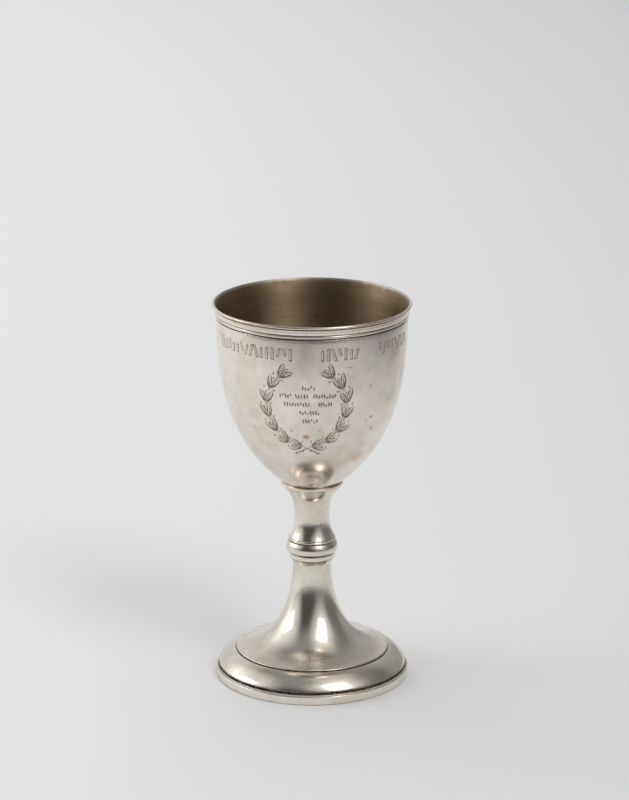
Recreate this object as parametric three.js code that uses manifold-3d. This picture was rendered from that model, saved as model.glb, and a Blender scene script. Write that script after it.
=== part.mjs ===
// A kiddush cup: a silver goblet for the blessing over wine, in millimetres, +Z up.
// The origin is the middle of the foot's underside, and the front, with the wreath, faces -Y.
// Five pieces are soldered together: the raised bowl, the waisted stem, the ring knop,
// the spun foot and the wire that stiffens the foot's edge.
import * as THREE from "three";
import { mergeVertices } from "three/addons/utils/BufferGeometryUtils.js";
import Module from "manifold-3d";

const wasm = await Module();
wasm.setup();

// Overall sizes
const HEIGHT = 149;
const RIM_RADIUS = 37.9;
const FOOT_RADIUS = 37.2;
const WALL = 0.8; // sheet of the bowl, the stem and the foot
const SEAM = 0.3; // width of the soldered seams, left open here
const BOWL_SIDES = 44;
const FOOT_SIDES = 44;
const STEM_SIDES = 28;

// Heights of the seams, from the table up
const RING_TOP = 3.4;
const FOOT_TOP = 49.05;
const KNOP_TOP = 54;
const COLLAR_TOP = 78;

// The bowl's wall swells from the collar towards an upright wall under the rim.
const BOWL_WALL = { radius: 36.53, top: 161.05, depth: 89.23, swell: 3.615, shoulder: 1.226 };
const BOWL_CAP_TOP = 79.5; // the ball-shaped bottom ends here
const WALL_TOP = 143.4; // and the rim's mouldings start here

// The engraving on the front: every place is an arc length and a height on the bowl.
const WREATH = { turn: -3.6, height: 116.75, halfWidth: 15.75, halfHeight: 16.25, arcRadius: 34.7 };
const SPRIGS = { count: 7, first: -83.5, step: 22 }; // in degrees along each branch
const LEAF = { length: 5.6, width: 2, spread: 33, depth: 0.45 };
const BERRY = { size: 0.9, reach: 2.7, spread: 78 };
const LINE = { width: 0.5, depth: 0.32 }; // a single stroke of the graver

const silverSatin = new THREE.MeshStandardMaterial({ color: 0xc8c3bb, roughness: 0.38, metalness: 1 });
const silverPolished = new THREE.MeshStandardMaterial({ color: 0xcdc8c0, roughness: 0.18, metalness: 1 });

// Points at equal steps of a parameter from 0 to 1.
const along = (steps, at) => Array.from({ length: steps + 1 }, (_, i) => at(i / steps));

// Points [radius, height] on a round stretch of an outline, angles in degrees.
function round([r, z], radius, from, to, steps) {
  return along(steps, (t) => {
    const angle = THREE.MathUtils.degToRad(from + (to - from) * t);
    return [r + radius * Math.cos(angle), z + radius * Math.sin(angle)];
  });
}

// Points on a free curve between two ends, drawn towards two handles.
function sweep(ends, steps) {
  const curve = new THREE.CubicBezierCurve(...ends.map(([r, z]) => new THREE.Vector2(r, z)));
  return curve.getPoints(steps).map((p) => [p.x, p.y]);
}

// The inner line of a sheet whose outer line runs upwards, from its top end down.
function inside(outer, wall) {
  const moved = outer.map(([r, z], i) => {
    const [r0, z0] = outer[Math.max(i - 1, 0)];
    const [r1, z1] = outer[Math.min(i + 1, outer.length - 1)];
    const length = Math.hypot(r1 - r0, z1 - z0);
    const inner = [r - (wall * (z1 - z0)) / length, z + (wall * (r1 - r0)) / length];
    return r === 0 ? [0, z + wall] : inner;
  });
  return moved.reverse();
}

// An outline turned about the Z axis. It ends on the axis, or is closed here. Angle 0 faces -Y.
function turned(outline, sides) {
  const closed = outline[0][0] === 0 ? outline : [...outline, outline[0]];
  const points = closed.map(([r, z]) => new THREE.Vector2(r, z));
  return new THREE.LatheGeometry(points, sides).rotateX(Math.PI / 2);
}

function bowlRadius(z) {
  const drop = (BOWL_WALL.top - z) / BOWL_WALL.depth;
  return BOWL_WALL.radius * (1 - drop ** BOWL_WALL.swell) ** (1 / BOWL_WALL.shoulder);
}

// The bowl's wall from the axis to the rim: a ball-shaped cap, then the swelling wall.
function bowlLine(capSteps, wallSteps) {
  const r = bowlRadius(BOWL_CAP_TOP);
  const slope = (bowlRadius(BOWL_CAP_TOP + 0.01) - r) / 0.01;
  const centre = BOWL_CAP_TOP + r * slope;
  const radius = Math.hypot(r, r * slope);
  const end = THREE.MathUtils.radToDeg(Math.atan2(-slope, 1));
  const cap = round([0, centre], radius, -90, end, capSteps);
  cap[0][0] = 0;
  const wall = along(wallSteps, (t) => {
    const z = BOWL_CAP_TOP + (WALL_TOP - BOWL_CAP_TOP) * t ** 1.5;
    return [bowlRadius(z), z];
  });
  return [...cap, ...wall.slice(1)];
}

function bowlOutline() {
  const lipRadius = 0.75;
  const lipCentre = [RIM_RADIUS - lipRadius, HEIGHT - lipRadius];
  const rim = [
    [36.25, 143.95], // lower groove
    [36.7, 144.25],
    [36.8, 145.15],
    [36.55, 145.45], // upper groove
    [37, 145.75],
    [37.05, 147.5],
    [36.95, 147.65], // the crease under the lip
  ];
  const lip = round(lipCentre, lipRadius, -45, 135, 4);
  const throat = [[37.05 - WALL, 147.3]];
  return [...bowlLine(3, 9), ...rim, ...lip, ...throat, ...inside(bowlLine(2, 6), WALL)];
}

function stemOutline() {
  const lip = [
    [8.55, KNOP_TOP + SEAM],
    [8.85, KNOP_TOP + 0.8],
    [8.85, KNOP_TOP + 1.7],
  ];
  const waist = (bellSteps, flareSteps) => [
    ...sweep([[8.7, 56.1], [7.35, 57.2], [6.65, 60.2], [6.65, 63.3]], bellSteps),
    ...sweep([[6.65, 63.3], [6.65, 70.5], [8.6, 74.2], [11.6, 76.7]], flareSteps).slice(1),
  ];
  const collar = [
    [12, 77.1],
    [12, COLLAR_TOP],
    [11.45, COLLAR_TOP],
    [10.6, 76.9],
  ];
  const throat = inside(waist(2, 4).slice(0, -1), WALL);
  return [...lip, ...waist(4, 6), ...collar, ...throat, [8.55 - WALL, KNOP_TOP + SEAM]];
}

function knopOutline() {
  const ring = round([8.7, 53], 1.1, -60, 60, 4);
  const hole = 5.8;
  return [
    [hole, FOOT_TOP + SEAM],
    [8.45, FOOT_TOP + SEAM],
    [8.75, 49.7],
    [8.75, 51.3],
    [8.5, 51.75],
    ...ring,
    [8.6, KNOP_TOP],
    [hole, KNOP_TOP],
  ];
}

// The foot is one spun sheet: a swelling moulding, a beaded edge, a disc and a trumpet.
function footOutline() {
  const low = 4.6;
  const high = 10.35;
  const [wide, narrow] = [36.35, 29.75];
  const fullness = 2 / 1.35; // between a straight chamfer at 2 and a quarter round at 1
  const moulding = (steps) =>
    along(steps, (t) => {
      const angle = (t * Math.PI) / 2;
      const r = narrow + (wide - narrow) * Math.cos(angle) ** fullness;
      return [r, low + (high - low) * Math.sin(angle) ** fullness];
    });
  const trumpet = (steps) => sweep([[29.15, 11.25], [14.2, 13.5], [7.45, 28.5], [7.45, 44]], steps);
  const neck = (steps) => sweep([[7.45, 44], [7.45, 46], [8.3, 46.6], [8.45, 48.6]], steps);
  const bead = [
    [29.45, 10.5],
    [29.6, 10.8],
    [29.4, 11.15],
  ];
  const base = [36.1, RING_TOP + SEAM];
  const top = [8.45, FOOT_TOP];
  const sheet = [...moulding(2), ...trumpet(5).slice(1), ...neck(1).slice(1)];
  const outer = [...moulding(4), ...bead, ...trumpet(8), ...neck(2).slice(1)];
  const inner = inside(sheet, WALL);
  return [base, ...outer, top, [top[0] - WALL, FOOT_TOP], ...inner, [base[0] - WALL, base[1]]];
}

function ringOutline() {
  const inner = 35.1;
  return [
    [inner, 0],
    [36.75, 0],
    [37.08, 0.3],
    [FOOT_RADIUS, 0.9],
    [FOOT_RADIUS, 2.1],
    [37, 2.8],
    [36.5, 3.1],
    [36.5, RING_TOP],
    [inner, RING_TOP],
  ];
}

// A geometry as a solid that can be cut.
function solidOf(geometry) {
  const bare = new THREE.BufferGeometry();
  bare.setAttribute("position", geometry.getAttribute("position"));
  bare.setIndex(geometry.index);
  const merged = mergeVertices(bare, 1e-4);
  const corners = merged.index.array;
  const faces = [];
  for (let i = 0; i < corners.length; i += 3) {
    const [a, b, c] = corners.slice(i, i + 3);
    if (a !== b && b !== c && a !== c) faces.push(a, b, c);
  }
  const vertProperties = merged.attributes.position.array;
  return new wasm.Manifold(
    new wasm.Mesh({ numProp: 3, vertProperties, triVerts: new Uint32Array(faces) }),
  );
}

function geometryOf(solid) {
  const mesh = solid.getMesh();
  const geometry = new THREE.BufferGeometry();
  geometry.setAttribute("position", new THREE.BufferAttribute(mesh.vertProperties, 3));
  geometry.setIndex(new THREE.BufferAttribute(mesh.triVerts, 1));
  geometry.computeVertexNormals();
  return geometry;
}

// A graver's cut: a stone with eight faces, sunk to half in the bowl, pointed at both ends.
// turn is round the cup in degrees, and lean turns the cut from level towards upright.
function graverCut({ turn, z, lean, length, width = LINE.width, depth = LINE.depth }) {
  const around = THREE.MathUtils.degToRad(turn);
  const r = bowlRadius(z);
  const out = new THREE.Vector3(Math.sin(around), -Math.cos(around), 0);
  const side = new THREE.Vector3(Math.cos(around), Math.sin(around), 0);
  const rise = (bowlRadius(z + 0.1) - bowlRadius(z - 0.1)) / 0.2;
  const up = new THREE.Vector3(0, 0, 1).addScaledVector(out, rise).normalize();
  const normal = side.clone().cross(up);
  const frame = new THREE.Matrix4().makeBasis(side, up, normal);
  return new THREE.OctahedronGeometry(1)
    .scale(length / 2, width / 2, depth)
    .rotateZ(THREE.MathUtils.degToRad(lean))
    .applyMatrix4(frame.setPosition(out.clone().multiplyScalar(r).setZ(z)));
}

// A point of the wreath's branch, by its angle from level, on the right or the left.
function branchPoint(angle, side) {
  const a = THREE.MathUtils.degToRad(angle);
  const arc = side * WREATH.halfWidth * Math.cos(a);
  const turn = WREATH.turn + THREE.MathUtils.radToDeg(arc / WREATH.arcRadius);
  return { turn, z: WREATH.height + WREATH.halfHeight * Math.sin(a), lean: side * (angle + 90) };
}

// A cut of the graver that lies some way from a place, in the direction of lean.
function cutBeside({ turn, z }, reach, lean, cut) {
  const angle = THREE.MathUtils.degToRad(lean);
  const arc = THREE.MathUtils.radToDeg((reach * Math.cos(angle)) / WREATH.arcRadius);
  return graverCut({ turn: turn + arc, z: z + reach * Math.sin(angle), lean, ...cut });
}

// Two laurel branches that cross below and stay open above. Each knot has two leaves and a berry.
function wreathCuts() {
  const cuts = [];
  const stalkLength = 7;
  for (const side of [-1, 1]) {
    for (let i = -1; i < SPRIGS.count; i += 1) {
      const middle = branchPoint(SPRIGS.first + (i - 0.5) * SPRIGS.step, side);
      cuts.push(graverCut({ ...middle, length: stalkLength }));
      if (i < 0) continue;
      const knot = branchPoint(SPRIGS.first + i * SPRIGS.step, side);
      const heading = side > 0 ? knot.lean : 180 + knot.lean;
      for (const spread of [-LEAF.spread, LEAF.spread]) {
        cuts.push(cutBeside(knot, LEAF.length / 2, heading + spread, LEAF));
      }
      const berry = { length: BERRY.size, width: BERRY.size };
      cuts.push(cutBeside(knot, BERRY.reach, heading - side * BERRY.spread, berry));
    }
  }
  return cuts;
}

// Rows of plain strokes where the cup has words: five short rows in the wreath.
function innerRowCuts() {
  const rows = [
    { z: 125.2, width: 5 },
    { z: 121.8, width: 21.5 },
    { z: 118.5, width: 18.5 },
    { z: 115.1, width: 8.6 },
    { z: 111.6, width: 6.2 },
  ];
  const middle = -2.6;
  const pitch = 1.75;
  return rows.flatMap(({ z, width }) => {
    const count = Math.round(width / pitch);
    const arc = THREE.MathUtils.radToDeg(width / WREATH.arcRadius);
    return along(count, (t) => {
      const lean = Math.round(t * count) % 2 ? 102 : 78;
      return graverCut({ turn: middle + (t - 0.5) * arc, z, lean, length: 2.2 });
    });
  });
}

// And a row of taller strokes under the rim, in groups with gaps between, all the way round.
function rimRowCuts() {
  const groups = [
    { from: -70, to: -11 },
    { from: 4.5, to: 29 },
    { from: 42.5, to: 76 },
    { from: 92, to: 128 },
    { from: 144, to: 190 },
    { from: 204, to: 274 },
  ];
  const z = 137.7;
  const pitch = 6.2;
  return groups.flatMap(({ from, to }) => {
    const count = Math.round((to - from) / pitch);
    return along(count, (t) => {
      const lean = 80 + 10 * (Math.round(t * count) % 3);
      return graverCut({ turn: from + (to - from) * t, z, lean, length: 4.1 });
    });
  });
}

function engraved(geometry) {
  const cutters = [...wreathCuts(), ...innerRowCuts(), ...rimRowCuts()].map(solidOf);
  return geometryOf(solidOf(geometry).subtract(wasm.Manifold.union(cutters)));
}

const cup = new THREE.Group();

function addPiece(name, geometry, material) {
  const piece = new THREE.Mesh(geometry, material);
  piece.name = name;
  cup.add(piece);
}

addPiece("foot_wire", turned(ringOutline(), FOOT_SIDES), silverPolished);
addPiece("foot", turned(footOutline(), FOOT_SIDES), silverPolished);
addPiece("knop", turned(knopOutline(), STEM_SIDES), silverPolished);
addPiece("stem", turned(stemOutline(), STEM_SIDES), silverPolished);
addPiece("bowl", engraved(turned(bowlOutline(), BOWL_SIDES)), silverSatin);

export default cup;
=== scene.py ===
# A silver kiddush cup: a goblet for the blessing over wine, engraved with a laurel wreath.
# Outlines are in millimetres as (radius, height), and meshes in metres. The wreath faces -Y.
import math
import random

import bmesh
import bpy
from mathutils import Matrix, Vector, geometry, kdtree


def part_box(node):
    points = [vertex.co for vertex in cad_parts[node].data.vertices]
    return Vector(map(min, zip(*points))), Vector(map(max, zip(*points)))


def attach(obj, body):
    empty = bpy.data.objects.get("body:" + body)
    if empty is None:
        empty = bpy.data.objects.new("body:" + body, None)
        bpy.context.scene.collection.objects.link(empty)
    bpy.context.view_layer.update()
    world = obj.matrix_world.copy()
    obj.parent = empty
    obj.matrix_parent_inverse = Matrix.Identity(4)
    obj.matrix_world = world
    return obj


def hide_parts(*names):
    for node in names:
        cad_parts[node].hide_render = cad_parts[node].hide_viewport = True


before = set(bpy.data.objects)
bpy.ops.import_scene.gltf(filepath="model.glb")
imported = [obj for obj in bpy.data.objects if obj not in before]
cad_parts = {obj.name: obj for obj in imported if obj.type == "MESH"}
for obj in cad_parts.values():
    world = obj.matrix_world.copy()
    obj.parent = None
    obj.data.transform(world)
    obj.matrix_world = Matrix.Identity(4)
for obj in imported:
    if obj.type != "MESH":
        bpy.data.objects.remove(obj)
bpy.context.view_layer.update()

MM = 0.001


def top_of(node):
    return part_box(node)[1].z / MM


def reach_of(node):
    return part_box(node)[1].x / MM


# Sizes of the solids
HEIGHT = top_of("bowl")
RIM_RADIUS = reach_of("bowl")
FOOT_RADIUS = reach_of("foot_wire")
KNOP_RADIUS = reach_of("knop")
WIRE_TOP = top_of("foot_wire")
KNOP_RING = 48.95  # where the knop's lowest ring goes on into the neck of the foot
KNOP_CROWN = 54.6  # the knop's top, where the stem stands on it
WALL = 0.8  # the thickness of the sheet silver

# The bowl's wall, as in the solid: it swells from the collar to an upright wall.
WALL_RADIUS = 36.53
WALL_SUMMIT = 161.05
WALL_DEPTH = 89.23
WALL_SWELL = 3.615
WALL_SHOULDER = 1.226
CAP_TOP = 79.5  # the round bottom goes over into the wall here
WALL_TOP = 143.4

# Steps round the axis
BOWL_STEPS = 192
FOOT_STEPS = 192
STEM_STEPS = 112


def along(count, at):
    return [at(i / count) for i in range(count + 1)]


def arc(centre, radius, start, end, count):
    """Points on a round stretch of an outline, with its angles in degrees."""

    def at(t):
        angle = math.radians(start + (end - start) * t)
        return centre[0] + radius * math.cos(angle), centre[1] + radius * math.sin(angle)

    return along(count, at)


def sweep(start, handle, other_handle, end, count):
    """Points on a free curve between two ends, drawn towards two handles."""
    knots = [Vector((*p, 0)) for p in (start, handle, other_handle, end)]
    return [(p.x, p.y) for p in geometry.interpolate_bezier(*knots, count + 1)]


def inside(outer, wall):
    """The inner line of a sheet whose outer line runs upwards, from its top end down."""
    moved = []
    for i, (r, z) in enumerate(outer):
        before = Vector(outer[max(i - 1, 0)])
        after = Vector(outer[min(i + 1, len(outer) - 1)])
        way = (after - before).normalized()
        moved.append((0, z + wall) if r == 0 else (r - wall * way.y, z + wall * way.x))
    return moved[::-1]


def turned(outline, steps):
    """An outline spun about the Z axis. It ends on the axis, or is closed here."""
    mesh = bmesh.new()
    verts = [mesh.verts.new((0, -r * MM, z * MM)) for r, z in outline]
    pairs = list(zip(verts, verts[1:]))
    if outline[0][0] > 0:
        pairs.append((verts[-1], verts[0]))
    edges = [mesh.edges.new(pair) for pair in pairs]
    bmesh.ops.spin(
        mesh,
        geom=verts + edges,
        cent=(0, 0, 0),
        axis=(0, 0, 1),
        angle=math.tau,
        steps=steps,
        use_merge=True,
    )
    bmesh.ops.remove_doubles(mesh, verts=mesh.verts, dist=1e-7)
    bmesh.ops.recalc_face_normals(mesh, faces=mesh.faces)
    return mesh


def tarnish_and_shade_at(seams, r, z):
    """How dark the patina and the painted contact shade are, from 0 to 1, by the distance to the creases
    (r, z, reach, depth).
    """
    found = 0
    for seam_r, seam_z, reach, depth in seams:
        distance = math.hypot(r - seam_r, z - seam_z)
        found = max(found, depth * math.exp(-((distance / reach) ** 2)))
    return found


def piece(name, mesh, materials, seams, sharp=40):
    """The finished piece, with its patina and any painted contact shade kept on its vertices."""
    data = bpy.data.meshes.new(name)
    layer = mesh.verts.layers.float.new("tarnish_and_contact_shade")
    for vert in mesh.verts:
        vert[layer] = tarnish_and_shade_at(seams, math.hypot(vert.co.x, vert.co.y) / MM, vert.co.z / MM)
    for face in mesh.faces:
        face.smooth = True
    mesh.to_mesh(data)
    mesh.free()
    data.set_sharp_from_angle(angle=math.radians(sharp))
    made = bpy.data.objects.new(name, data)
    bpy.context.scene.collection.objects.link(made)
    for material in materials:
        data.materials.append(material)
    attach(made, "root")
    return made


# Materials


def linear(colour):
    """A colour written as sRGB hex, as linear values."""
    parts = [int(colour[i : i + 2], 16) / 255 for i in (1, 3, 5)]
    return [p / 12.92 if p <= 0.04045 else ((p + 0.055) / 1.055) ** 2.4 for p in parts] + [1]


def add_node(tree, kind, settings=None, **links):
    """A shader node with its settings and its inputs: a socket that feeds it, or a plain value.

    An input goes by its name, or by its number as i0, i1 and so on.
    """
    made = tree.nodes.new("ShaderNode" + kind)
    for key, value in (settings or {}).items():
        setattr(made, key, value)
    for key, value in links.items():
        socket = made.inputs[int(key[1:])] if key[1:].isdigit() else made.inputs[key.replace("_", " ")]
        if isinstance(value, bpy.types.NodeSocket):
            tree.links.new(value, socket)
        else:
            socket.default_value = value
    return made


# Settings that several nodes share
PLUS = {"operation": "ADD"}
TIMES = {"operation": "MULTIPLY"}
TIMES_PLUS = {"operation": "MULTIPLY_ADD"}
LARGER = {"operation": "MAXIMUM"}
SCALED = {"operation": "SCALE"}
LENGTH = {"operation": "LENGTH"}
ACROSS = {"operation": "CROSS_PRODUCT"}
ALONG = {"operation": "DOT_PRODUCT"}
SOFT = {"interpolation_type": "SMOOTHSTEP"}
BLEND = {"data_type": "RGBA"}
SHADE = {"data_type": "RGBA", "blend_type": "MULTIPLY"}

# The grain of each pattern on the silver, in mm
PATCH = 14
DENT = 7
BLOTCH = 4.5
FLECK = 1.1
CRUMB = 0.9
BRUSHED_LINE = 0.8
SCRATCH = 0.5
SPUN_LINE = 0.35


def silver(name, clean, dull, roughness, streak, ring_side, ring_depth, dent_depth, stains=(), film=None):
    """Old silver: cloudy tones, spinning lines, hairline scratches, flecks, and dirt in its creases, where
    some pieces also have painted contact shade.

    With a positive streak it was brushed round the axis, so it spreads a reflection along the
    outline, and with a negative one it was rubbed up and down, which spreads it sideways.
    ring_side is 1 where the piece widens upwards and -1 where it narrows, so that the lines
    follow its outline. A film is the colour of the inside, and starts at the lip. Each stain is
    (place, half width, half height, strength, colour).
    """
    material = bpy.data.materials.new(name)
    material.use_nodes = True
    tree = material.node_tree
    tree.nodes.clear()
    place = add_node(tree, "TexCoord").outputs["Object"]
    mm = add_node(tree, "VectorMath", SCALED, i0=place, Scale=1 / MM).outputs[0]
    flat = add_node(tree, "VectorMath", TIMES, i0=mm, i1=(1, 1, 0)).outputs[0]
    radius = add_node(tree, "VectorMath", LENGTH, i0=flat).outputs["Value"]
    across, deep, height = add_node(tree, "SeparateXYZ", i0=mm).outputs

    patches = add_node(tree, "TexNoise", Vector=mm, Scale=1 / PATCH, Detail=3.0).outputs[0]
    blotches = add_node(tree, "TexNoise", Vector=mm, Scale=1 / BLOTCH, Detail=4.0).outputs[0]
    crumbs = add_node(tree, "TexNoise", Vector=mm, Scale=1 / CRUMB, Detail=3.0).outputs[0]

    # Spinning lines: noise that changes fast along the outline and slowly round the axis
    line = add_node(tree, "Math", TIMES_PLUS, i0=radius, i1=float(ring_side), i2=height).outputs[0]
    up = add_node(tree, "CombineXYZ", Z=line).outputs[0]
    round_slowly = add_node(tree, "VectorMath", SCALED, i0=flat, Scale=0.02).outputs[0]
    spun = add_node(tree, "VectorMath", PLUS, i0=round_slowly, i1=up).outputs[0]
    rings = add_node(tree, "TexNoise", Vector=spun, Scale=1 / SPUN_LINE, Detail=2.0).outputs[0]

    # Hairline scratches, drawn 0.3 mm wide so that they show: noise stretched along two slants
    ahead = add_node(tree, "Math", TIMES, i0=deep, i1=-1.0).outputs[0]
    front_angle = add_node(tree, "Math", {"operation": "ARCTAN2"}, i0=across, i1=ahead).outputs[0]
    arc_length = add_node(tree, "Math", TIMES, i0=front_angle, i1=radius).outputs[0]
    unrolled = add_node(tree, "CombineXYZ", X=arc_length, Y=height).outputs[0]
    scratches = 0.0
    for slant in (8, -35):
        lying = add_node(
            tree,
            "Mapping",
            {"vector_type": "POINT"},
            Vector=unrolled,
            Rotation=(0, 0, math.radians(slant)),
            Scale=(0.1, 1.6, 1),
        ).outputs[0]
        hairs = add_node(tree, "TexNoise", Vector=lying, Scale=1 / SCRATCH, Detail=1.0).outputs[0]
        found = add_node(tree, "MapRange", Value=hairs, i1=0.69, i2=0.76).outputs[0]
        scratches = add_node(tree, "Math", LARGER, i0=found, i1=scratches).outputs[0]

    # Dirt: solid in the creases with a ragged edge, and a little of it on the cuts. The creases also carry
    # painted contact shade, under the foot's wire.
    crease_dirt_and_shade = add_node(tree, "Attribute", {"attribute_name": "tarnish_and_contact_shade"}).outputs["Fac"]
    cut = add_node(tree, "Attribute", {"attribute_name": "cuts"}).outputs["Fac"]
    ragged = add_node(tree, "Math", TIMES_PLUS, i0=crumbs, i1=0.7, i2=crease_dirt_and_shade).outputs[0]
    in_creases_with_shade = add_node(tree, "MapRange", Value=ragged, i1=0.62, i2=1.1).outputs[0]
    broken = add_node(tree, "MapRange", Value=crumbs, i1=0.3, i2=0.6, i3=0.75, i4=1.1).outputs[0]
    in_cuts = add_node(tree, "Math", TIMES, i0=cut, i1=broken).outputs[0]
    dark = add_node(tree, "Math", LARGER, i0=in_creases_with_shade, i1=in_cuts).outputs[0]
    specks = add_node(tree, "TexNoise", Vector=mm, Scale=1 / FLECK, Detail=2.0).outputs[0]
    flecks = add_node(tree, "MapRange", Value=specks, i1=0.71, i2=0.76, i3=0.0, i4=0.4).outputs[0]

    dulled = add_node(tree, "MapRange", Value=patches, i1=0.38, i2=0.64).outputs[0]
    tone = add_node(tree, "Mix", BLEND, i0=dulled, i6=linear(clean), i7=linear(dull)).outputs[2]
    if film:
        edge = add_node(tree, "Math", PLUS, i0=height, i1=crumbs).outputs[0]
        started = add_node(tree, "MapRange", Value=edge, i1=HEIGHT + 0.3, i2=HEIGHT - 0.6).outputs[0]
        tone = add_node(tree, "Mix", BLEND, i0=started, i6=tone, i7=linear(film)).outputs[2]
        # Its brushed lines are drawn 0.8 mm wide so that they show
        brushing = add_node(tree, "TexNoise", Vector=spun, Scale=1 / BRUSHED_LINE, Detail=3.0).outputs[0]
        brushed = add_node(tree, "MapRange", Value=brushing, i1=0.36, i2=0.64).outputs[0]
        tone = add_node(tree, "Mix", SHADE, i0=brushed, i6=tone, i7=linear("#efebe4")).outputs[2]
    blotched = add_node(tree, "MapRange", Value=blotches, i1=0.4, i2=0.66).outputs[0]
    tone = add_node(tree, "Mix", SHADE, i0=blotched, i6=tone, i7=linear("#f5f5f2")).outputs[2]
    for spot, half_width, half_height, strength, colour in stains:
        squeeze = (1 / half_width, 1 / half_width, 1 / half_height)
        away = add_node(tree, "VectorMath", {"operation": "SUBTRACT"}, i0=mm, i1=spot).outputs[0]
        squeezed = add_node(tree, "VectorMath", TIMES, i0=away, i1=squeeze).outputs[0]
        reach = add_node(tree, "VectorMath", LENGTH, i0=squeezed).outputs["Value"]
        uneven = add_node(tree, "Math", TIMES_PLUS, i0=crumbs, i1=1.6, i2=reach).outputs[0]
        stained = add_node(tree, "MapRange", Value=uneven, i1=2.0, i2=1.1, i3=0.0, i4=strength).outputs[0]
        tone = add_node(tree, "Mix", SHADE, i0=stained, i6=tone, i7=linear(colour)).outputs[2]
    browner = add_node(tree, "MapRange", Value=blotches, i1=0.42, i2=0.62).outputs[0]
    grime_and_shade_colour = add_node(tree, "Mix", BLEND, i0=browner, i6=linear("#2b251e"), i7=linear("#6d5b45")).outputs[2]
    scratched = add_node(tree, "Math", TIMES, i0=scratches, i1=0.14).outputs[0]
    tone = add_node(tree, "Mix", BLEND, i0=scratched, i6=tone, i7=grime_and_shade_colour).outputs[2]
    dirt_and_shade = add_node(tree, "Math", LARGER, i0=dark, i1=flecks).outputs[0]
    tone = add_node(tree, "Mix", BLEND, i0=dirt_and_shade, i6=tone, i7=grime_and_shade_colour).outputs[2]

    least, most = roughness * 0.85, roughness * 1.2
    haze = add_node(tree, "MapRange", Value=blotches, i1=0.3, i2=0.7, i3=least, i4=most).outputs[0]
    worn = add_node(tree, "Math", TIMES_PLUS, i0=scratches, i1=0.12, i2=haze).outputs[0]
    # The disc of the foot and the lip are rubbed duller, by cloths and by lips
    low_down = add_node(tree, "MapRange", Value=height, i1=20, i2=12).outputs[0]
    over_moulding = add_node(tree, "MapRange", Value=height, i1=9.8, i2=10.8, i3=0.2, i4=1.0).outputs[0]
    on_disc = add_node(tree, "Math", TIMES, i0=low_down, i1=over_moulding).outputs[0]
    on_lip = add_node(tree, "MapRange", Value=height, i1=146, i2=148.3).outputs[0]
    handled = add_node(tree, "Math", LARGER, i0=on_disc, i1=on_lip).outputs[0]
    rubbed = add_node(tree, "Math", TIMES_PLUS, i0=handled, i1=0.07, i2=worn).outputs[0]
    rough = add_node(tree, "Math", TIMES_PLUS, i0=dark, i1=0.35, i2=rubbed).outputs[0]

    lines = add_node(tree, "Bump", Strength=1.0, Distance=ring_depth * MM, Height=rings).outputs[0]
    dents = add_node(tree, "TexNoise", Vector=mm, Scale=1 / DENT, Detail=1.0).outputs[0]
    dented = add_node(
        tree, "Bump", Strength=1.0, Distance=dent_depth * MM, Height=dents, Normal=lines
    ).outputs[0]
    normal = add_node(tree, "NewGeometry").outputs["Normal"]
    round_way = add_node(tree, "VectorMath", ACROSS, i0=(0, 0, 1), i1=flat).outputs[0]
    outline_way = add_node(tree, "VectorMath", ACROSS, i0=round_way, i1=normal).outputs[0]
    shader = add_node(
        tree,
        "BsdfPrincipled",
        Metallic=1.0,
        Base_Color=tone,
        Roughness=rough,
        Anisotropic=abs(streak),
        Tangent=outline_way if streak > 0 else round_way,
        Normal=dented,
    )
    add_node(tree, "OutputMaterial", Surface=shader.outputs[0])
    return material


RUSTY = "#c4a68f"
BROWNISH = "#e6d6c8"
GREYISH = "#a49b8e"


def at_turn(r, turn, z):
    """A place in mm by its radius, its turn from the front in degrees, and its height."""
    return r * math.sin(math.radians(turn)), -r * math.cos(math.radians(turn)), z


def wall_radius(z):
    """The outside of the bowl's wall at a height."""
    drop = (WALL_SUMMIT - z) / WALL_DEPTH
    return WALL_RADIUS * (1 - drop**WALL_SWELL) ** (1 / WALL_SHOULDER)


STEM_STAINS = [
    (at_turn(7.3, 26, 71.8), 0.3, 1.0, 0.5, GREYISH),
    (at_turn(6.8, 26, 67.8), 0.3, 1.2, 0.5, GREYISH),
    (at_turn(6.9, 30, 61.8), 0.35, 1.3, 0.6, GREYISH),
    (at_turn(34.2, -1.4, 8.4), 0.45, 0.4, 0.7, GREYISH),
    (at_turn(36.1, -28.5, 5.2), 0.5, 0.5, 0.7, GREYISH),
    (at_turn(36.1, 65, 5.4), 0.5, 0.5, 0.7, RUSTY),
]

# Stains on the bowl by height and turn
BOWL_STAINS = [
    (at_turn(wall_radius(z), turn, z), half_width, half_height, strength, colour)
    for z, turn, half_width, half_height, strength, colour in (
        (104.75, -3.9, 1.3, 1.1, 1.0, RUSTY),
        (107.35, -13.9, 0.5, 0.4, 0.9, GREYISH),
        (107.65, 5.2, 0.5, 0.4, 0.9, GREYISH),
        (110.85, 42.3, 1.0, 0.8, 0.8, GREYISH),
        (109.65, 38.5, 0.8, 0.6, 0.7, GREYISH),
        (105.85, 45.2, 0.9, 0.7, 0.7, GREYISH),
        (124.0, 38.4, 0.4, 1.2, 0.8, GREYISH),
        (135.5, -4.0, 3.2, 8.0, 0.5, "#e2dad2"),
        (134.9, 60.0, 4.0, 4.0, 0.3, GREYISH),
        (123.8, 74.6, 4.0, 6.0, 0.3, GREYISH),
        (117.2, 58.9, 3.5, 3.0, 0.25, GREYISH),
        (106.7, -42.3, 0.6, 0.5, 0.6, GREYISH),
        (100.8, -40.6, 0.6, 0.5, 0.6, GREYISH),
        (142.8, 2.0, 11.0, 0.6, 0.5, RUSTY),
        (94.0, 40.4, 4.0, 3.0, 0.6, BROWNISH),
        (132.6, 22.5, 1.6, 0.2, 0.8, GREYISH),
        (148.2, 38, 16.0, 2.0, 0.8, BROWNISH),
        (148.2, -42, 14.0, 2.0, 0.6, BROWNISH),
    )
]

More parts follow.
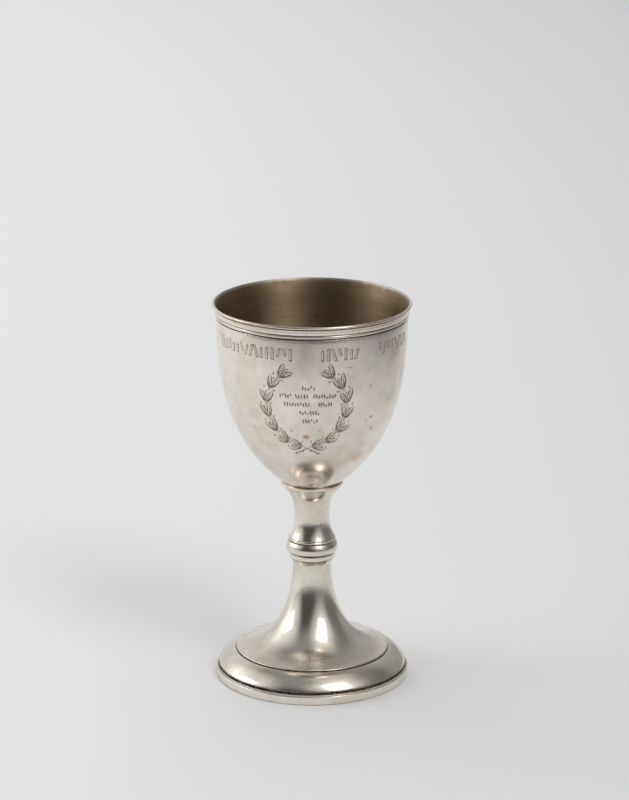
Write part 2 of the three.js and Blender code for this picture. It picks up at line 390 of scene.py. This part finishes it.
# Sterling silver, spun and polished, then handled for years: a clear, slightly soft mirror.
polished = silver("polished_silver", "#f0eae0", "#e6ddd0", 0.17, -0.3, -1, 0.003, 0.012, STEM_STAINS)
# The foot's wire: a lighter copy of the polished silver, painted light that brightens it, and a little
# rougher.
brightened_wire_silver = silver("wire_silver_painted_light", "#f7f1e8", "#ebe3d7", 0.2, -0.3, 1, 0.003, 0.012)
# The same silver on the bowl, planished and rubbed to a softer sheen.
satin = silver("satin_silver", "#f0e8e1", "#e6dbd1", 0.16, 0.3, 1, 0.003, 0.02, BOWL_STAINS)
# The inside: a brown film over worn gilding, brushed round and round by the spinning tool.
inside_silver = silver("film_inside_bowl", "#f2ece5", "#e9e1d8", 0.46, 0.8, 1, 0.02, 0.02, film="#ab997e")


# The turned pieces


def make_foot_wire():
    inner = 35.1
    outline = [
        (inner, 0),
        *arc((36.82, 0.32), 0.32, -90, -10, 6),
        (FOOT_RADIUS - 0.02, 0.9),
        (FOOT_RADIUS, 1.5),
        (FOOT_RADIUS - 0.04, 2.4),
        *arc((36.85, 3.0), 0.3, 10, 80, 4),
        (36.82, 3.36),  # a thin line turned under the fillet
        (36.62, 3.4),
        *arc((36.4, 3.62), 0.2, -20, 90, 4),
        (36.15, WIRE_TOP + 0.3),
        (inner, WIRE_TOP + 0.3),
    ]
    seams = [
        (36.75, 3.38, 0.2, 0.7),
        (36.2, 3.95, 0.5, 0.8),
        # Dirt and painted contact shade along the bottom edge, where the wire stands on the table
        (36.8, 0.0, 0.32, 1.2),
        (35.1, 1.5, 1.5, 0.5),
    ]
    made = piece("foot_wire_turned", turned(outline, FOOT_STEPS), [brightened_wire_silver], seams)
    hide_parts("foot_wire")


def make_foot():
    low, high = 4.85, 10.6
    wide, narrow = 36.35, 29.75
    fullness = 2 / 1.35

    def moulding_at(t):
        angle = t * math.pi / 2
        r = narrow + (wide - narrow) * math.cos(angle) ** fullness
        return r, low + (high - low) * math.sin(angle) ** fullness

    moulding = along(26, moulding_at)
    bead = [(29.5, 10.65), (29.45, 10.75), *arc((29.25, 11.05), 0.3, -40, 80, 6)]
    trumpet = sweep((29.1, 11.4), (14.2, 13.5), (7.45, 28.5), (7.45, 44), 48)
    neck = sweep((7.45, 44), (7.45, 46.2), (7.95, 46.3), (8.5, 47.3), 8)[1:]
    ring = [(8.62, 47.4), *arc((8.5, 48.0), 0.4, -40, 10, 4), (8.9, 48.6), (8.88, KNOP_RING)]
    base = [(36.05, WIRE_TOP + 0.3), (36.1, 4.4)]
    top = [(8.2, KNOP_RING)]
    sheet = moulding[::3] + trumpet[1::3] + neck[::3]
    inner = inside(sheet, WALL)
    outline = base + moulding + bead + trumpet + neck + ring + top
    outline += [(8.2 - WALL, KNOP_RING), *inner, (36.05 - WALL, WIRE_TOP + 0.3)]
    seams = [(36.05, 4.3, 1.1, 0.8), (29.5, 10.7, 0.4, 0.95), (8.56, 47.35, 0.3, 0.75)]
    made = piece("foot_spun", turned(outline, FOOT_STEPS), [polished], seams)
    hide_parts("foot")


def make_knop():
    """A plain ring, shared with the foot's neck, under a full moulding that is widest low down."""
    hole = 5.8
    widest = KNOP_RADIUS + 0.2
    outline = [
        (hole, KNOP_RING),
        (8.88, KNOP_RING),
        *arc((8.65, 49.4), 0.2, 0, 70, 3),
        (8.45, 49.78),  # the groove under the moulding
        (8.6, 50.02),
        *arc((widest - 0.6, 50.55), 0.4, -85, -20, 5),
        *arc((widest - 4.3, 51.75), 4.3, -14, 32, 16),
        *arc((9.08, 54.1), 0.25, 35, 85, 3),
        (8.85, KNOP_CROWN - 0.15),
        (8.8, KNOP_CROWN),
        (hole, KNOP_CROWN),
    ]
    seams = [(8.5, 49.88, 0.5, 1.4), (8.85, 54.5, 0.2, 1.1)]
    made = piece("knop_turned", turned(outline, STEM_STEPS), [polished], seams)
    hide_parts("knop")


def make_stem():
    lip = [(8.5, KNOP_CROWN), *arc((8.66, 55.12), 0.5, -80, 75, 9)]
    bell = [(8.76, 55.72)] + sweep((8.8, 55.85), (8.3, 57.0), (6.95, 59.3), (6.72, 63), 20)
    flare = sweep((6.72, 63), (6.5, 70.2), (8.3, 73.3), (11.5, 76.65), 26)[1:]
    collar = [
        (11.55, 76.75),
        *arc((11.6, 77.25), 0.4, -80, 0, 4),
        *arc((11.75, 78.0), 0.25, 0, 90, 4),
        (11.3, 78.3),
        (10.6, 77.2),
    ]
    throat = inside((bell + flare)[::4], WALL)
    outline = [*lip, *bell, *flare, *collar, *throat, (8.5 - WALL, KNOP_CROWN)]
    seams = [
        (8.6, 54.55, 0.25, 1),
        (8.76, 55.72, 0.2, 0.6),
        (11.5, 76.8, 0.3, 0.5),
        (11.5, 78.4, 0.22, 0.75),
    ]
    made = piece("stem_waisted", turned(outline, STEM_STEPS), [polished], seams)
    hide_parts("stem")


# The bowl


def wall_slope(z):
    return (wall_radius(z + 0.01) - wall_radius(z - 0.01)) / 0.02


def bowl_line(cap_count, wall_count):
    """The wall's outer line from the axis to the rim's mouldings."""
    r, slope = wall_radius(CAP_TOP), wall_slope(CAP_TOP)
    centre = (0, CAP_TOP + r * slope)
    end = math.degrees(math.atan2(-slope, 1))
    cap = arc(centre, math.hypot(r, r * slope), -90, end, cap_count)
    cap[0] = (0, cap[0][1])
    heights = along(wall_count, lambda t: CAP_TOP + (WALL_TOP - CAP_TOP) * t**1.15)
    return cap + [(wall_radius(z), z) for z in heights[1:]]


def rim_outline():
    """Two grooves, a plain band and the rolled lip, upwards."""
    lip_radius = 0.5
    return [
        (36.42, 143.62),
        (36.3, 143.8),
        *arc((36.45, 143.95), 0.2, 200, 110, 3),
        *arc((36.5, 144.5), 0.28, -60, 0, 3),
        *arc((36.55, 144.95), 0.25, 0, 70, 3),
        (36.6, 145.3),
        *arc((36.75, 145.45), 0.17, 220, 130, 3),
        (36.95, 145.65),
        (37.02, 145.8),
        (37.05, 146.6),
        (37.1, 147.4),
        (37.22, 147.8),
        (37.25, 148.0),
        *arc((RIM_RADIUS - lip_radius, HEIGHT - lip_radius), lip_radius, -85, 160, 14),
    ]


def place_on_wall(turn, z):
    """A point of the bowl's outside, in mm, by its turn round the cup in degrees."""
    return Vector(at_turn(wall_radius(z), turn, z))


# The engraving. A stroke is (points, width, depth, darkness), its points (turn, height).

WREATH_TURN = -3.6
WREATH_HEIGHT = 116.75
WREATH_HALF_WIDTH = 15.75
WREATH_HALF_HEIGHT = 16.25
ARC_RADIUS = 34.7  # arc lengths on the front are measured at this radius
KNOTS = 7
FIRST_KNOT = -83.5
KNOT_STEP = 22
LEAF_LENGTH = 6.1
LEAF_FULLNESS = 0.84

draw = random.Random(7)


def on_front(points, centre=WREATH_TURN):
    """Points (arc length, height) on the front as (turn, height)."""
    return [(centre + math.degrees(x / ARC_RADIUS), z) for x, z in points]


def branch_at(angle, side):
    """A place on one of the wreath's two branches, by its angle in the wreath's ellipse."""
    a = math.radians(angle)
    across, up = WREATH_HALF_WIDTH * math.cos(a), WREATH_HALF_HEIGHT * math.sin(a)
    return Vector((side * across, WREATH_HEIGHT + up))


def leaf_strokes(base, heading, hand, length, fullness):
    """One laurel leaf, aslant to the branch: a narrow base, a full middle, and a blunt tip.

    It has two edges, a midrib, and shading cuts that run up from its base. With hand 0 it lies
    along the branch, and only its edges are cut.
    """
    away = Matrix.Rotation(heading, 2)
    knots = [Vector(k) for k in ((0, 0), (0.3, 0.1 * hand), (0.66, 0.27 * hand), (1, 0.41 * hand))]
    path = [base + away @ (k * length) for k in knots]
    rib = [Vector(p) for p in sweep(*path, 14)]

    def beside(i, share):
        t = i / 14
        way = (rib[min(i + 1, 14)] - rib[max(i - 1, 0)]).normalized()
        swell = fullness * math.sin(math.pi * t**1.05) ** 0.8
        return rib[i] + Vector((-way.y, way.x)) * (hand or 1) * share * swell

    outer = [beside(i, 1.0) for i in range(15)]
    inner = [beside(i, -0.85) for i in range(15)]
    if hand == 0:
        return [(outer, 0.28, 0.08, 0.8), (inner, 0.24, 0.07, 0.7)]
    strokes = [(outer, 0.42, 0.12, 1.0), (inner, 0.3, 0.1, 0.95), (rib[:12], 0.28, 0.07, 0.85)]
    for share, first, last in ((0.5, 1, 8),):
        line = [beside(i, share) for i in range(first, last)]
        strokes.append((line, 0.26, 0.07, 0.9))
    return strokes


def berry_strokes(knot, heading, reach, stalk):
    way = Vector((math.cos(heading), math.sin(heading)))
    end = knot + way * reach
    ring = along(8, lambda t: end + 0.13 * Vector((math.cos(t * math.tau), math.sin(t * math.tau))))
    strokes = [(ring, 0.4, 0.14, 0.95)]
    if stalk:
        strokes.append(([end - way * 1.1, end], 0.24, 0.07, 0.6))
    return strokes


def wreath_strokes():
    strokes = []
    for side in (-1, 1):
        foot = Vector((-side * 5.8, 96.95))
        knots = [branch_at(FIRST_KNOT + i * KNOT_STEP, side) for i in range(KNOTS)]
        stem = sweep(foot, foot.lerp(knots[0], 0.35), foot.lerp(knots[0], 0.7), knots[0], 8)
        strokes.append(([Vector(p) for p in stem], 0.34, 0.12, 0.95))
        strokes.append(([foot, foot.lerp(knots[0], 0.24)], 0.5, 0.16, 1.0))
        strokes.append(([foot, foot + Vector((side * 1.0, 1.1))], 0.45, 0.12, 1.0))
        for i, knot in enumerate(knots):
            angle = FIRST_KNOT + i * KNOT_STEP
            tangent = branch_at(angle + 2, side) - branch_at(angle - 2, side)
            heading = math.atan2(tangent.y, tangent.x)
            if i + 1 < KNOTS:
                line = along(6, lambda t: branch_at(angle + KNOT_STEP * t, side))
                strokes.append((line[:3], 0.3, 0.1, 0.9))
            way = tangent.normalized()
            # The heavy cut where two leaves part from the branch
            strokes.append(([knot - way * 0.8, knot + way * 1.8], 0.6, 0.14, 1.0))
            for hand in (-1, 1):
                turn = heading + math.radians(draw.uniform(-6, 6))
                length = LEAF_LENGTH * draw.uniform(0.9, 1.08)
                strokes += leaf_strokes(knot, turn, hand, length, LEAF_FULLNESS)
                outward = hand == -side
                berry_way = heading + hand * math.radians(96 if outward else 80)
                strokes += berry_strokes(knot, berry_way, draw.uniform(2.0, 2.5), not outward)
            strokes += leaf_strokes(knot + way * 2.4, heading, 0, 3.2, 0.45)
    return [(on_front(line), width, depth, dark) for line, width, depth, dark in strokes]


def hatch_row(start, end, z, pitch, height, hollow=0.0):
    """A row of plain cuts between two arc lengths, upright or leaning and of uneven length.

    A hollow cut is the outline of a bar that wide.
    """
    strokes = []
    count = round((end - start) / pitch)
    for i in range(count):
        x = start + (i + 0.5) * (end - start) / count
        length = height * draw.choice((1, 1, 0.85, 0.7, 0.55))
        lean = draw.choice((0, 0, 0.14, -0.14)) * length
        middle = z + draw.choice((-1, 1)) * (height - length) / 2
        low, high = middle - length / 2, middle + length / 2
        dark = draw.uniform(0.85, 1.0)
        if hollow:
            half = hollow / 2
            bar = [(-half - lean, low), (-half + lean, high), (half + lean, high), (half - lean, low)]
            line = [(x + shift, level) for shift, level in bar + bar[:2]]
            strokes.append((on_front(line, 0), 0.28, 0.08, 0.92 * dark))
        else:
            strokes.append((on_front([(x - lean, low), (x + lean, high)], 0), 0.5, 0.1, dark))
    return strokes


# The rows: height, then where each stretch of cuts starts and ends, in mm of arc from the front
INNER_ROWS = (
    (125.2, ((-3.9, 1.3),)),
    (121.8, ((-12.4, -7.4), (-6.4, -1.2), (0.3, 9.1))),
    (118.5, ((-10.8, -0.6), (2.2, 7.8))),
    (115.1, ((-5.0, 3.0),)),
    (111.6, ((-3.9, 2.5),)),
)
RIM_ROW_HEIGHT = 138.0
RIM_ROW_TURNS = ((-70, -11), (4.5, 29), (42.5, 76), (92, 128), (144, 190), (204, 274))


def engraving():
    """All the strokes cut in the bowl's outside."""
    strokes = wreath_strokes()
    for z, stretches in INNER_ROWS:
        for start, end in stretches:
            strokes += hatch_row(start, end, z, 1.0, 2.1)
    for turns in RIM_ROW_TURNS:
        start, end = (math.radians(turn) * ARC_RADIUS for turn in turns)
        strokes += hatch_row(start, end, RIM_ROW_HEIGHT, 2.2, 4.4, 0.8)
    return strokes


def sampled(strokes, step):
    """Close points along every stroke: (place, half width, depth, darkness)."""
    samples = []
    for line, width, depth, dark in strokes:
        spots = [place_on_wall(*p) for p in line]
        total = sum((b - a).length for a, b in zip(spots, spots[1:]))
        run = 0
        for a, b in zip(spots, spots[1:]):
            length = (b - a).length
            count = max(1, round(length / step))
            for i in range(count):
                t = (run + length * i / count) / total
                taper = min(1, 3 * t + 0.25, 3 * (1 - t) + 0.25)
                samples.append((a.lerp(b, i / count), width / 2 * taper, depth * taper, dark * taper))
            run += length
    return samples


SAMPLE_STEP = 0.06
ENGRAVED_FROM, ENGRAVED_TO = 95.0, 141.5
# The wall is divided once all over, and twice more within these distances of a stroke
FINER_BANDS = (100, 0.56, 0.29)
FINEST_CELL = 0.15


def engrave(mesh):
    """Cuts the strokes in the outside of the bowl, on a mesh that is made finer round them."""
    samples = sampled(engraving(), SAMPLE_STEP)
    tree = kdtree.KDTree(len(samples))
    for i, sample in enumerate(samples):
        tree.insert(sample[0], i)
    tree.balance()

    def is_wall(co):
        r, z = math.hypot(co.x, co.y) / MM, co.z / MM
        return ENGRAVED_FROM < z < ENGRAVED_TO and r > wall_radius(z) - 0.5 * WALL

    for band in FINER_BANDS:
        edges = set()
        for face in mesh.faces:
            centre = face.calc_center_median()
            if is_wall(centre) and tree.find(centre / MM)[2] < band:
                edges.update(face.edges)
        bmesh.ops.subdivide_edges(mesh, edges=list(edges), cuts=1, use_grid_fill=True)
        for vert in mesh.verts:
            if is_wall(vert.co):
                r = wall_radius(vert.co.z / MM) * MM / math.hypot(vert.co.x, vert.co.y)
                vert.co.x *= r
                vert.co.y *= r
    layer = mesh.verts.layers.float.new("cuts")
    for vert in mesh.verts:
        if not is_wall(vert.co):
            continue
        place, index, distance = tree.find(vert.co / MM)
        _, half_width, depth, dark = samples[index]
        if distance < 0.5 * FINEST_CELL:
            vert.co = place * MM
            distance = 0
        if distance < 0.6:
            edge = max(half_width, 0.8 * FINEST_CELL)
            cut = max(0, 1 - distance / edge)
            out = Vector((vert.co.x, vert.co.y, 0)).normalized()
            out.z = -wall_slope(vert.co.z / MM)
            vert.co -= out.normalized() * depth * cut * MM
            vert[layer] = 0.97 * dark * max(0, min(1, 1.6 - 1.6 * distance / (half_width + 0.09)))


def make_bowl():
    outer = bowl_line(14, 62)
    inner = inside(bowl_line(6, 24), WALL)
    throat = [(36.7, 148.3), (36.35, 147.5), (36.1, 146.4)]
    outline = outer + rim_outline() + throat + inner
    mesh = turned(outline, BOWL_STEPS)
    engrave(mesh)
    for face in mesh.faces:
        centre = face.calc_center_median()
        r, z = math.hypot(centre.x, centre.y) / MM, centre.z / MM
        if z > WALL_TOP:
            inner_side = r < (36.3 if z < 147 else 37.3)
        elif z < CAP_TOP + 1:
            inner_side = face.normal.z > 0
        else:
            inner_side = r < wall_radius(z) - 0.5 * WALL
        face.material_index = 1 if inner_side else 0
    seams = [
        (11.5, 78.4, 0.25, 0.75),
        (36.3, 143.9, 0.3, 1),
        (36.6, 145.42, 0.22, 0.95),
        (37.22, 147.95, 0.22, 0.95),
    ]
    made = piece("bowl_engraved", mesh, [satin, inside_silver], seams)
    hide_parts("bowl")


make_foot_wire()
make_foot()
make_knop()
make_stem()
make_bowl()


# The studio: pale paper, a dim room with some lit walls, and two soft boxes

AIM = Vector((0, 0, 0.08))

# Lit parts of the room: azimuth, elevation, full within, gone beyond (degrees), brightness
LIT_WALLS = (
    (-145, 5, 30, 56, 0.62),  # the wall behind, brighter on its left
    (150, 12, 15, 45, 0.25),  # its right end
    (160, 38, 10, 35, 0.09),  # and the wall above it
    (-90, 23, 8, 46, 0.75),  # the glow round the left soft box
    (37, 42, 12, 40, 0.52),  # the glow round the right soft box
    (0, 90, 15, 60, 0.19),  # the ceiling
    (75, 75, 5, 22, 0.37),  # a bright part of the ceiling on the right
    (40, 0, 5, 32, 0.16),  # the wall under the right soft box
    (80, 15, 15, 50, 0.1),  # the far wall on the right
)


def direction(azimuth, elevation):
    """The way from the cup to a light: azimuth 0 is towards the camera, and 90 to its right."""
    a, e = math.radians(azimuth), math.radians(elevation)
    return Vector((math.sin(a) * math.cos(e), -math.cos(a) * math.cos(e), math.sin(e)))


def soft_box(name, azimuth, elevation, distance, width, height, radiance):
    """A soft box whose width and height are in degrees, as the cup sees it."""
    lamp = bpy.data.lights.new(name, "AREA")
    lamp.shape = "RECTANGLE"
    lamp.size = 2 * distance * math.tan(math.radians(width / 2))
    lamp.size_y = 2 * distance * math.tan(math.radians(height / 2))
    lamp.energy = radiance * math.pi * lamp.size * lamp.size_y
    box = bpy.data.objects.new(name, lamp)
    bpy.context.scene.collection.objects.link(box)
    way = direction(azimuth, elevation)
    box.location = AIM + way * distance
    box.rotation_mode = "QUATERNION"
    box.rotation_quaternion = way.to_track_quat("Z", "Y")
    return box


def make_paper():
    """A wide sheet of white paper, with painted shade in its colour: a little darker towards the camera
    and to the right, the dark end of the room, as the light falls off.
    """
    mesh = bmesh.new()
    corners = [mesh.verts.new(c) for c in ((-6, -3.2, 0), (6, -3.2, 0), (6, 6, 0), (-6, 6, 0))]
    mesh.faces.new(corners)
    data = bpy.data.meshes.new("paper")
    mesh.to_mesh(data)
    mesh.free()
    paper = bpy.data.objects.new("paper", data)
    bpy.context.scene.collection.objects.link(paper)
    material = bpy.data.materials.new("paper_with_painted_falloff")
    material.use_nodes = True
    tree = material.node_tree
    shader = tree.nodes["Principled BSDF"]
    place = add_node(tree, "TexCoord").outputs["Object"]
    parts = add_node(tree, "SeparateXYZ", i0=place).outputs
    forward = direction(-20, 0)
    ahead = add_node(tree, "VectorMath", ALONG, i0=place, i1=forward).outputs["Value"]
    # Painted shade: the paper's colour darkens towards the camera, to the right, and more at the far
    # right.
    painted_shade_near = add_node(tree, "MapRange", SOFT, Value=ahead, i1=0.2, i2=0.6).outputs[0]
    painted_falloff_right = add_node(tree, "MapRange", SOFT, Value=parts["X"], i1=-0.4, i2=0.6).outputs[0]
    painted_shade_far_right = add_node(tree, "MapRange", SOFT, Value=parts["X"], i1=0.2, i2=0.6).outputs[0]
    tone = add_node(tree, "Mix", BLEND, i0=painted_falloff_right, i6=linear("#efefef"), i7=linear("#cfcfcf")).outputs[2]
    tone = add_node(tree, "Mix", SHADE, i0=painted_shade_near, i6=tone, i7=linear("#a6a6a6")).outputs[2]
    tone = add_node(tree, "Mix", SHADE, i0=painted_shade_far_right, i6=tone, i7=linear("#b0b0b0")).outputs[2]
    tree.links.new(tone, shader.inputs["Base Color"])
    shader.inputs["Roughness"].default_value = 0.9
    shader.inputs["Specular IOR Level"].default_value = 0.1
    data.materials.append(material)


def make_room():
    world = bpy.data.worlds.new("room")
    world.use_nodes = True
    bpy.context.scene.world = world
    tree = world.node_tree
    tree.nodes.clear()
    way = add_node(tree, "TexCoord").outputs["Generated"]
    light = 0.0
    for azimuth, elevation, inner, outer, brightness in LIT_WALLS:
        towards = direction(azimuth, elevation)
        nearness = add_node(tree, "VectorMath", ALONG, i0=way, i1=towards).outputs["Value"]
        start, full = math.cos(math.radians(outer)), math.cos(math.radians(inner))
        wall = add_node(
            tree, "MapRange", SOFT, Value=nearness, i1=start, i2=full, i3=0.0, i4=brightness
        ).outputs[0]
        light = add_node(tree, "Math", PLUS, i0=wall, i1=light).outputs[0]
    walls = add_node(tree, "Background", Color=linear("#fdfdff"), Strength=light).outputs[0]
    dark = add_node(tree, "Background", Color=linear("#fbfff6"), Strength=0.075).outputs[0]
    room = add_node(tree, "AddShader", i0=walls, i1=dark).outputs[0]
    add_node(tree, "OutputWorld", Surface=room)


FOCAL_LENGTH = 148.9
CAMERA_PLACE = (0.00095, -1.211, 0.468)
CAMERA_DIP = 16.46  # degrees below the level


def make_camera():
    """The photograph's view: a long lens, a little above the cup."""
    lens = bpy.data.cameras.new("camera")
    lens.lens = FOCAL_LENGTH
    lens.sensor_width = 36
    lens.clip_start, lens.clip_end = 0.05, 20
    camera = bpy.data.objects.new("camera", lens)
    bpy.context.scene.collection.objects.link(camera)
    camera.location = CAMERA_PLACE
    camera.rotation_euler = (math.radians(90 - CAMERA_DIP), 0, 0)
    bpy.context.scene.camera = camera


make_paper()
make_room()
soft_box("soft_box_left", -90, 22, 2.6, 19, 20, 2.6)
soft_box("soft_box_right", 38, 45, 5.0, 19, 33, 3.7)
# A wide sheet of light over the paper, behind black cloth as the cup sees it
overhead = soft_box("overhead", -165, 70, 2.8, 60, 60, 1.12)
overhead.visible_glossy = False
make_camera()
bpy.context.scene.view_settings.view_transform = "Standard"
